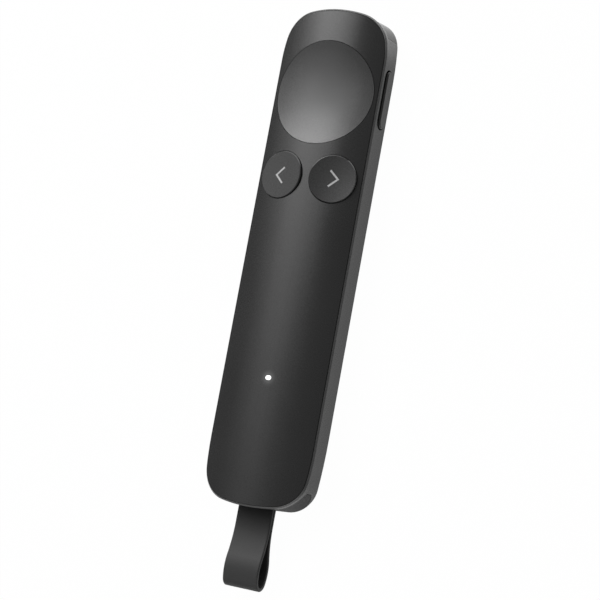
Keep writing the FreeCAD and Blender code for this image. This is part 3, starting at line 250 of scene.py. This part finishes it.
tin_finish, place = new_finish("stamped_tin")
scratch = place.streaks((1, 14, 14), 0.0016, 3)
place.cover({
    "Base Color": scratch.between(grey(0.5, 0.01), grey(0.68, 0.02)),
    "Metallic": 1.0,
    "Roughness": 0.26 + scratch * 0.16,
    "Normal": place.bump(scratch, 0.00001),
})
dress(tin_finish, "radio_module", "pointer_switch", "back_switch", "next_switch", "side_switch")

ceramic_finish, place = new_finish("antenna_ceramic")
speck = place.noise(0.0001, 2)
place.cover({
    "Base Color": speck.between((0.5, 0.5, 0.46, 1), (0.72, 0.71, 0.66, 1)),
    "Roughness": 0.45 + speck * 0.2,
    "Normal": place.bump(speck, 0.00001),
})
dress(ceramic_finish, "antenna")

resin_finish, place = new_finish("chip_resin")
place.cover(moulding(place, 0.012, 0.5, 0.00008, 0.00001))
dress(resin_finish, "power_chip")

# Board screws
# Four blackened steel screws with crossed recesses in their flat heads. They are driven through
# the board into the chassis's posts.

screw_finish, place = new_finish("blackened_steel")
wear = place.noise(0.0004, 3)
place.cover({
    "Base Color": wear.ramp(0.4, 0.75).between(grey(0.06), grey(0.3)),
    "Metallic": 1.0,
    "Roughness": 0.42 - wear * 0.15,
    "Normal": place.bump(wear, 0.00001),
})


def new_tree(name, sizes):
    """A Geometry Nodes tree with a named input for each size, and a signal for each input."""
    tree = bpy.data.node_groups.new(name, "GeometryNodeTree")
    tree.interface.new_socket("Start", in_out="INPUT", socket_type="NodeSocketGeometry")
    for size_name in sizes:
        tree.interface.new_socket(size_name, in_out="INPUT", socket_type="NodeSocketFloat")
    tree.interface.new_socket("Piece", in_out="OUTPUT", socket_type="NodeSocketGeometry")
    entry = tree.nodes.new("NodeGroupInput")
    return tree, {socket.name: Signal(socket) for socket in entry.outputs if socket.name}


def close_tree(shape, material):
    """The end of a tree: real meshes, smooth, in their material."""
    real = shape.node("GeometryNodeRealizeInstances", {}, {0: shape})
    smooth = real.node("GeometryNodeSetShadeSmooth", {}, {0: real})
    dressed = smooth.node("GeometryNodeSetMaterial", {}, {0: smooth, "Material": material})
    dressed.node("NodeGroupOutput", {}, {0: dressed})


def grown(name, corners, edges, tree, sizes):
    """The plain mesh object that a tree makes from a few points and edges."""
    start = bpy.data.meshes.new(name)
    start.from_pydata(corners, edges, [])
    piece = bpy.data.objects.new(name, start)
    bpy.context.collection.objects.link(piece)
    growth = piece.modifiers.new("growth", "NODES")
    growth.node_group = tree
    for item in tree.interface.items_tree:
        if item.name in sizes:
            growth[item.identifier] = sizes[item.name]
    piece.modifiers.new("even_shading", "WEIGHTED_NORMAL")
    graph = bpy.context.evaluated_depsgraph_get()
    finished = bpy.data.meshes.new_from_object(piece.evaluated_get(graph))
    piece.modifiers.clear()
    piece.data = finished
    return piece


screw_sizes = {"Head radius": 0.00115, "Head height": 0.00055, "Shank radius": 0.0005,
               "Shank length": 0.0028, "Recess length": 0.0013, "Recess width": 0.0003}
tree, size = new_tree("crossed_screw", screw_sizes)
head = size["Start"].node("GeometryNodeMeshCylinder", {}, {
    "Vertices": 32, "Radius": size["Head radius"], "Depth": size["Head height"]})
arms = []
for sides in (("Recess length", "Recess width"), ("Recess width", "Recess length")):
    reach = size["Start"].node("ShaderNodeCombineXYZ", {}, {
        "X": size[sides[0]], "Y": size[sides[1]], "Z": size["Head height"]})
    arms.append(reach.node("GeometryNodeMeshCube", {}, {"Size": reach}))
lift = size["Start"].node("ShaderNodeCombineXYZ", {}, {"Z": size["Head height"] * 0.5})
cutter = lift.node("GeometryNodeJoinGeometry", {}, {})
for arm in arms:
    raised = arm.node("GeometryNodeTransform", {}, {"Geometry": arm, "Translation": lift})
    tree.links.new(raised.socket, cutter.socket.node.inputs[0])
crossed = head.node("GeometryNodeMeshBoolean", {"operation": "DIFFERENCE"},
                    {"Mesh 1": head, "Mesh 2": cutter})
shank = head.node("GeometryNodeMeshCylinder", {}, {
    "Vertices": 20, "Radius": size["Shank radius"], "Depth": size["Shank length"]})
drop = head.node("ShaderNodeCombineXYZ", {}, {"Z": size["Shank length"] * -0.5})
lowered = shank.node("GeometryNodeTransform", {}, {"Geometry": shank, "Translation": drop})
screw = head.node("GeometryNodeJoinGeometry", {}, {})
for part in (crossed, lowered):
    tree.links.new(part.socket, screw.socket.node.inputs[0])
close_tree(screw.node("GeometryNodeInstanceOnPoints", {},
                      {"Points": size["Start"], "Instance": screw}), screw_finish)
screws_low, screws_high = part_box("board_screws")
head_middle = screws_high.z - screw_sizes["Head height"] / 2
screw_places = [(x, y, head_middle)
                for x in (screws_low.x + screw_sizes["Head radius"],
                          screws_high.x - screw_sizes["Head radius"])
                for y in (screws_low.y + screw_sizes["Head radius"],
                          screws_high.y - screw_sizes["Head radius"])]
screws = grown("crossed_board_screws", screw_places, [], tree, screw_sizes)
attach(screws, "casing")
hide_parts("board_screws")

# Laser module and its lens
# A turned brass barrel, with fine rings left by the tool, and a pressed glass lens in its nose. It
# lies behind the end window and shines through it.

brass_finish, place = new_finish("turned_brass")
turning = place.streaks((0.2, 40, 0.2), 0.0022, 2)
place.cover({
    "Base Color": turning.between((0.58, 0.4, 0.16, 1), (0.78, 0.58, 0.28, 1)),
    "Metallic": 1.0,
    "Roughness": 0.22 + turning * 0.14,
    "Normal": place.bump(turning, 0.00001),
})
dress(brass_finish, "laser_module")

lens_finish, place = new_finish("lens_glass")
bloom = place.noise(0.0012, 2)
place.cover({
    "Base Color": bloom.between((0.10, 0.015, 0.02, 1), (0.16, 0.03, 0.05, 1)),
    "Roughness": 0.04 + bloom * 0.06,
    "Coat Weight": 1.0,
    "Coat Roughness": 0.03,
})
dress(lens_finish, "laser_lens")

# Side band
# The one-piece frame round the edge, moulded in charcoal plastic with a satin surface. The narrow
# bevel along its front rim carries a painted highlight, strongest round the corners on the key
# side, and a painted reflection makes its shoulders paler next to the window and the cap.


def bevels(place):
    """A mask of the bevels between the front face and the sides, which face up by 0.6 to 0.86,
    and the X and Y of the way that they face."""
    x, y, z = Signal(place.socket.node.outputs["Normal"]).across()
    return z.ramp(0.45, 0.6) * (1 - z.ramp(0.86, 0.93)), x, y


def rim_with_painted_highlight(place, colour):
    """A moulding's colour, with a painted highlight: a paler line on the bevel of the front rim,
    strongest round the corners on the key side.
    """
    bevel, x, y = bevels(place)
    # painted highlight: the rim's bevel is made paler where it faces the key side and the ends
    highlight_share = x.ramp(-0.25, 0.6) * abs(y).ramp(0.12, 0.5, 0.2, 1.0)
    return bevel.between(colour, highlight_share.between(grey(0.03), grey(0.25)))


band_finish, place = new_finish("band_satin")
band_signals = moulding(place, 0.014, 0.26, 0.00014, 0.000004)
along = place.across()[1]
near_window = along.ramp(0.0485, 0.0555)
near_cap = along.ramp(-0.0575, -0.0525, 0.5, 0.0)
# painted reflection: the band is made paler next to the window and the cap, with a little noise
painted_shoulder_reflection = (near_window + near_cap) * (0.7 + place.noise(0.002, 4) * 0.6)
band_signals["Base Color"] = painted_shoulder_reflection.between(band_signals["Base Color"], grey(0.16))
band_signals["Base Color"] = rim_with_painted_highlight(place, band_signals["Base Color"])
band_signals["Specular IOR Level"] = 0.55
place.cover(band_signals)
dress(band_finish, "side_band")

# End window
# A smoked plastic panel at the head end, let into the band, that the laser shines through. It is
# a shade glossier than the band, and its front edge carries the same painted highlight.

window_finish, place = new_finish("smoked_window")
haze = place.noise(0.004, 3)
place.cover({
    "Base Color": rim_with_painted_highlight(place, haze.between(grey(0.022), grey(0.03))),
    "Roughness": 0.14 + haze * 0.06,
    "Specular IOR Level": 0.6,
    "Normal": place.bump(place.noise(0.0002), 0.000003),
})
dress(window_finish, "end_window")

# Front cover
# The crowned plate, moulded in black plastic with a very fine satin grain. Some of the status
# light spreads through it round the light pipe.



def satin(place, tone):
    """Signals of the plastic that the cover, the pad, the buttons and the key share."""
    return moulding(place, tone, 0.27, 0.00012, 0.000006)


lamp_low, lamp_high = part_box("light_pipe")
lamp_middle = (lamp_low + lamp_high) / 2
cover_finish, place = new_finish("cover_satin")
cover_signals = satin(place, 0.018)
near_lamp = 1 - place.off_axis(lamp_middle).ramp(0.0005, 0.0027)
glow = near_lamp * near_lamp
cover_signals["Emission Color"] = glow.between(grey(0.0), grey(0.06))
cover_signals["Emission Strength"] = 1.0
place.cover(cover_signals)
dress(cover_finish, "front_cover")

# Status light
# A clear pipe of polycarbonate, frosted on its face, over a white lamp on the board. It is lit.

lamp_finish, place = new_finish("lit_polycarbonate")
off_middle = place.off_axis(lamp_middle).ramp(0.0004, 0.0009)
place.cover({
    "Base Color": place.noise(0.0002).between(grey(0.7), grey(0.8)),
    "Roughness": 0.35,
    "Emission Color": off_middle.between(grey(1.0), grey(0.35)),
    "Emission Strength": 1.2,
})
dress(lamp_finish, "light_pipe", "status_led")

# Pointer pad
# A dished disc that fills the cover's round opening, moulded in the cover's plastic. Thumbs have
# polished its middle a little.

pad_low, pad_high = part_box("pointer_pad")
pad_middle = (pad_low + pad_high) / 2
pad_finish, place = new_finish("pad_satin")
pad_signals = satin(place, 0.02)
polish = place.off_axis(pad_middle).ramp(0.003, 0.011, 0.02, 0.0)
pad_signals["Roughness"] = pad_signals["Roughness"] - polish
place.cover(pad_signals)
dress(pad_finish, "pointer_pad")

# Back and next buttons
# Two round caps moulded in the same plastic, each with a slightly hollow face for a fingertip. The
# bevel carries a painted highlight towards the pad, and a chevron is printed on the face in pale
# grey.


def hollowed(name, node_name, depth):
    """A piece like a CAD button, with rings that fall to its middle in place of its flat face."""
    merging_distance = 0.000001
    least_upward = 0.93
    same_level = 0.00001
    ring_shares = (0.97, 0.9, 0.8, 0.7, 0.58, 0.45, 0.3, 0.15)
    shape = bmesh.new()
    shape.from_mesh(nodes[node_name].data)
    bmesh.ops.remove_doubles(shape, verts=shape.verts, dist=merging_distance)
    upward = [face for face in shape.faces if face.normal.z > least_upward]
    top = max(upward, key=lambda face: face.calc_center_median().z)
    axis = top.normal.copy()
    level = top.calc_center_median().dot(axis)
    flat = [face for face in upward
            if abs(face.calc_center_median().dot(axis) - level) < same_level]
    bmesh.ops.delete(shape, geom=flat, context="FACES")
    rim = [corner for corner in shape.verts if corner.is_boundary]
    middle = sum((corner.co for corner in rim), Vector()) / len(rim)
    rim.sort(key=lambda corner: math.atan2(corner.co.y - middle.y, corner.co.x - middle.x))
    outer = rim
    for share in ring_shares:
        inner = [shape.verts.new(middle.lerp(corner.co, share) - axis * depth * (1 - share ** 2))
                 for corner in rim]
        for number, corner in enumerate(inner):
            shape.faces.new((outer[number - 1], outer[number], corner, inner[number - 1]))
        outer = inner
    lowest = shape.verts.new(middle - axis * depth)
    for number, corner in enumerate(outer):
        shape.faces.new((outer[number - 1], corner, lowest))
    for face in shape.faces:
        face.smooth = True
    mesh = bpy.data.meshes.new(name)
    shape.to_mesh(mesh)
    shape.free()
    mesh.set_sharp_from_angle(angle=math.radians(25))
    piece = bpy.data.objects.new(name, mesh)
    bpy.context.collection.objects.link(piece)
    return piece


def chevron(place, tip_x, tip_y, end_x):
    """A mask of a printed chevron on a button's face, from its tip and the X of its two ends."""
    half_height = 0.00182
    half_stroke = 0.000225
    softness = 0.00002
    face_low, face_high = 0.0096, 0.0099
    x, y, z = place.across()
    rise = abs(y - tip_y)
    length = math.hypot(end_x - tip_x, half_height)
    step_x = (end_x - tip_x) / length
    step_y = half_height / length
    from_tip = (x - tip_x) * step_x + rise * step_y
    off_line = abs((x - tip_x) * step_y - rise * step_x)
    beyond = (from_tip - length).most(0 - from_tip)
    stroke = 1 - off_line.most(beyond).ramp(half_stroke - softness, half_stroke + softness)
    return stroke * z.ramp(face_low, face_high)


# Each button's node, the X and Y of its chevron's tip, the X of the chevron's ends, and the depth
# of the hollow
button_shapes = (("back_button", -0.00827, 0.0189, -0.00637, 0.00006),
                 ("next_button", 0.00825, 0.0191, 0.00631, 0.0002))
for node_name, tip_x, tip_y, end_x, hollow in button_shapes:
    button_finish, place = new_finish(f"{node_name}_satin")
    button_signals = satin(place, 0.02)
    ink = chevron(place, tip_x, tip_y, end_x)
    bevel, _, towards_pad = bevels(place)
    # painted highlight: the bevel is made paler on its side towards the pad
    painted_bevel_highlight = bevel * towards_pad.ramp(0.15, 0.5)
    button_signals["Base Color"] = painted_bevel_highlight.between(button_signals["Base Color"], grey(0.2))
    button_signals["Base Color"] = ink.between(button_signals["Base Color"], grey(0.46))
    button_signals["Roughness"] = button_signals["Roughness"] + ink * 0.2
    place.cover(button_signals)
    button = hollowed(f"{node_name}_cap", node_name, hollow)
    button.data.materials.append(button_finish)
    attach(button, node_name)
    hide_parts(node_name)

# Side key
# A bar with round ends that stands out of the band's slot, moulded in the same plastic. It
# presses on a dome switch behind it.

key_finish, place = new_finish("key_satin")
place.cover(satin(place, 0.02))
dress(key_finish, "side_key")

# Charging socket, receiver plug, tongue and contacts
# A stamped, tin-plated shell round each, a black tongue with four gilt contacts in the plug, and
# the socket's own tongue. The receiver slides out of the foot end on its cap.

plate_finish, place = new_finish("plated_shell")
rub = place.streaks((16, 1, 16), 0.0022, 3)
place.cover({
    "Base Color": rub.between(grey(0.6, 0.01), grey(0.78, 0.02)),
    "Metallic": 1.0,
    "Roughness": 0.2 + rub * 0.18,
    "Normal": place.bump(rub, 0.00001),
})
dress(plate_finish, "charging_socket", "receiver_plug")

tongue_finish, place = new_finish("tongue_moulding")
place.cover(moulding(place, 0.02, 0.45, 0.0001, 0.00001))
dress(tongue_finish, "receiver_tongue")

gilt_finish, place = new_finish("gilt_contacts")
rub = place.noise(0.0005, 3)
place.cover({
    "Base Color": rub.between((0.8, 0.56, 0.22, 1), (0.92, 0.7, 0.34, 1)),
    "Metallic": 1.0,
    "Roughness": 0.18 + rub * 0.14,
})
dress(gilt_finish, "receiver_contacts")

# Receiver cap
# The plate that closes the band's foot end, moulded in black plastic, with the strap's slot in it.
# Its surface is duller than the band's, and the plug stands on its inner side.

cap_finish, place = new_finish("cap_moulding")
cap_signals = moulding(place, 0.08, 0.58, 0.00014, 0.00001)
cap_signals["Specular IOR Level"] = 0.28
place.cover(cap_signals)
dress(cap_finish, "receiver_cap")

# Strap pin
# A ground steel pin, pressed into the cap across the slot. The strap's eye turns on it.

pin_finish, place = new_finish("ground_steel")
grinding = place.streaks((30, 1, 1), 0.003, 2)
place.cover({
    "Base Color": grinding.between(grey(0.42), grey(0.56)),
    "Metallic": 1.0,
    "Roughness": 0.2 + grinding * 0.15,
})
dress(pin_finish, "strap_pin")

# Strap
# A flat loop of soft black silicone, moulded in one piece with rounded edges. Its eye turns on the
# pin, and its two plies open into a drop. It is paler towards its end, and a painted shadow of the
# body makes it darkest next to the cap.

pin_low, pin_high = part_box("strap_pin")
strap_low, strap_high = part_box("strap")
strap_finish, place = new_finish("strap_silicone")
strap_signals = moulding(place, 0.023, 0.6, 0.00025, 0.00002)
along = place.across()[1]
# painted shadow: the strap is darkened next to the cap, where the body shades it
painted_cap_shadow = along.ramp(pin_low.y - 0.016, pin_low.y - 0.002, 1.0, 0.3)
# the strap is made paler towards its end
paler_towards_end = along.ramp(strap_low.y, strap_low.y + 0.006, 0.7, 0.0)
strap_signals["Base Color"] = painted_cap_shadow.between(grey(0.0), strap_signals["Base Color"])
strap_signals["Base Color"] = paler_towards_end.between(strap_signals["Base Color"], grey(0.06))
place.cover(strap_signals)

pin_middle = (pin_low + pin_high) / 2
strap_sizes = {"Width": strap_high.x - strap_low.x, "Thickness": 0.00095, "Edge radius": 0.0003}
half_ply = strap_sizes["Thickness"] / 2
eye_hole_radius = 0.00058
eye_radius = eye_hole_radius + half_ply
ply_offset = 0.0005
root_radius = 0.0008 + half_ply
slope = math.radians(18.5)
belly_rise = 0.00275 - half_ply
belly_radius = 0.009
tip_radius = 0.0024 - half_ply
neck_radius = (belly_rise - ply_offset) / (1 - math.cos(slope)) - belly_radius
fall = math.acos((belly_radius - belly_rise) / (belly_radius - tip_radius))
root_far = math.sqrt((eye_radius + root_radius) ** 2 - (ply_offset + root_radius) ** 2)
tip_far = pin_middle.y - strap_low.y - half_ply - tip_radius
belly_far = tip_far - (belly_radius - tip_radius) * math.sin(fall)
neck_far = belly_far - (neck_radius + belly_radius) * math.sin(slope)


# The upper half of the loop's middle line, seen from its edge, goes round the pin, out along a
# straight ply, up over a belly and round the tip. The lower half mirrors it.
def bend(far, rise, radius, first, last, steps):
    """Points of an arc round a centre, from its first to its last angle, as (far, rise)."""
    angles = [first + (last - first) * step / steps for step in range(steps)]
    return [(far + radius * math.cos(angle), rise + radius * math.sin(angle))
            for angle in angles]


quarter = math.pi / 2
root_turn = math.asin(root_far / (eye_radius + root_radius))
upper = bend(0, 0, eye_radius, math.pi, quarter - root_turn, 22)
upper += bend(root_far, ply_offset + root_radius, root_radius,
              3 * quarter - root_turn, 3 * quarter, 8)
straight = neck_far - root_far
upper += [(root_far + straight * step / 8, ply_offset) for step in range(8)]
upper += bend(neck_far, ply_offset + neck_radius, neck_radius, -quarter, slope - quarter, 24)
upper += bend(belly_far, belly_rise - belly_radius, belly_radius,
              quarter + slope, quarter - fall, 24)
upper += bend(tip_far, 0, tip_radius, quarter - fall, 0, 20)
lower = [(far, -rise) for far, rise in upper[:0:-1]]
line = upper + [(tip_far + tip_radius, 0)] + lower
corners = [(0, pin_middle.y - far, pin_middle.z + rise) for far, rise in line]
edges = [(number, (number + 1) % len(corners)) for number in range(len(corners))]
tree, size = new_tree("flat_strap", strap_sizes)
path = size["Start"].node("GeometryNodeMeshToCurve", {}, {0: size["Start"]})
section = path.node("GeometryNodeCurvePrimitiveQuadrilateral", {}, {
    "Width": size["Width"], "Height": size["Thickness"]})
section = section.node("GeometryNodeFilletCurve", {"mode": "POLY"}, {
    "Curve": section, "Count": 5, "Radius": size["Edge radius"]})
close_tree(path.node("GeometryNodeCurveToMesh", {}, {
    "Curve": path, "Profile Curve": section}), strap_finish)
strap = grown("silicone_strap", corners, edges, tree, strap_sizes)
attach(strap, "strap")
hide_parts("strap")

# Floor, backdrop and lamps
# A white sweep under and behind the clicker, one broad soft box over its head end, on the left,
# and a weak even light from all round. The soft box is a grid of panels, brightest in its top
# row, and it fades towards its two ends.

bpy.ops.mesh.primitive_plane_add(size=6)
floor = bpy.context.object
floor.name = "floor"
floor_finish, place = new_finish("white_sweep")
paper = place.node("ShaderNodeBsdfDiffuse", {}, {"Color": grey(0.9)})
seen = place.node("ShaderNodeEmission", {}, {"Color": grey(1.0), "Strength": 1.0})
ray = place.node("ShaderNodeLightPath", {}, {}).socket.node.outputs
mirrored = Signal(ray["Is Glossy Ray"]) * 0.6
watched = Signal(ray["Is Camera Ray"]).most(mirrored).most(Signal(ray["Is Transmission Ray"]))
even_share = 0.985
sweep = place.node("ShaderNodeMixShader", {}, {0: watched * even_share, 1: paper, 2: seen})
place.node("ShaderNodeOutputMaterial", {}, {"Surface": sweep})
floor.data.materials.append(floor_finish)


def lamp_panel(name, across, along, breadth, radiance):
    """A square lamp that faces the clicker from two angles: across from upright, and along. Its
    breadth is an angle, too."""
    distance = 1.2
    towards = Vector((math.sin(across) * math.cos(along), math.sin(along),
                      math.cos(across) * math.cos(along)))
    lamp = bpy.data.lights.new(name, "AREA")
    lamp.shape = "RECTANGLE"
    lamp.size = 2 * distance * math.tan(breadth / 2)
    lamp.size_y = lamp.size
    lamp.energy = radiance * math.pi * lamp.size * lamp.size_y
    holder = bpy.data.objects.new(name, lamp)
    bpy.context.collection.objects.link(holder)
    holder.location = towards * distance
    side = Vector((0, 1, 0)).cross(towards).normalized()
    holder.rotation_mode = "QUATERNION"
    facing = Matrix((side, towards.cross(side), towards)).transposed()
    holder.rotation_quaternion = facing.to_quaternion()


# Each row's angle along the clicker in degrees, and the radiances of its panels from left to right
lamp_rows = ((40, (2.5, 8.5, 8.5, 7.0, 1.0)),
             (28, (0.3, 4.6, 6.6, 7.4, 1.4)),
             (16, (0.8, 1.5, 3.3, 2.4, 2.5)),
             (4, (0.0, 0.4, 1.1, 1.3, 0.2)))
breadth = math.radians(12)
leftmost = math.radians(-60)
for along, radiances in lamp_rows:
    for number, radiance in enumerate(radiances):
        lamp_panel(f"panel_{along}_{number}", leftmost + number * breadth, math.radians(along),
                   breadth, radiance)

world = bpy.data.worlds.new("studio")
bpy.context.scene.world = world
world.use_nodes = True
world.node_tree.nodes.clear()
seen_by_camera = Signal(
    world.node_tree.nodes.new("ShaderNodeLightPath").outputs["Is Camera Ray"])
air_colour = seen_by_camera.between(grey(0.27), grey(1.0))
air = air_colour.node("ShaderNodeBackground", {}, {"Color": air_colour, "Strength": 1.0})
air.node("ShaderNodeOutputWorld", {}, {"Surface": air})

bpy.context.scene.view_settings.view_transform = "Standard"
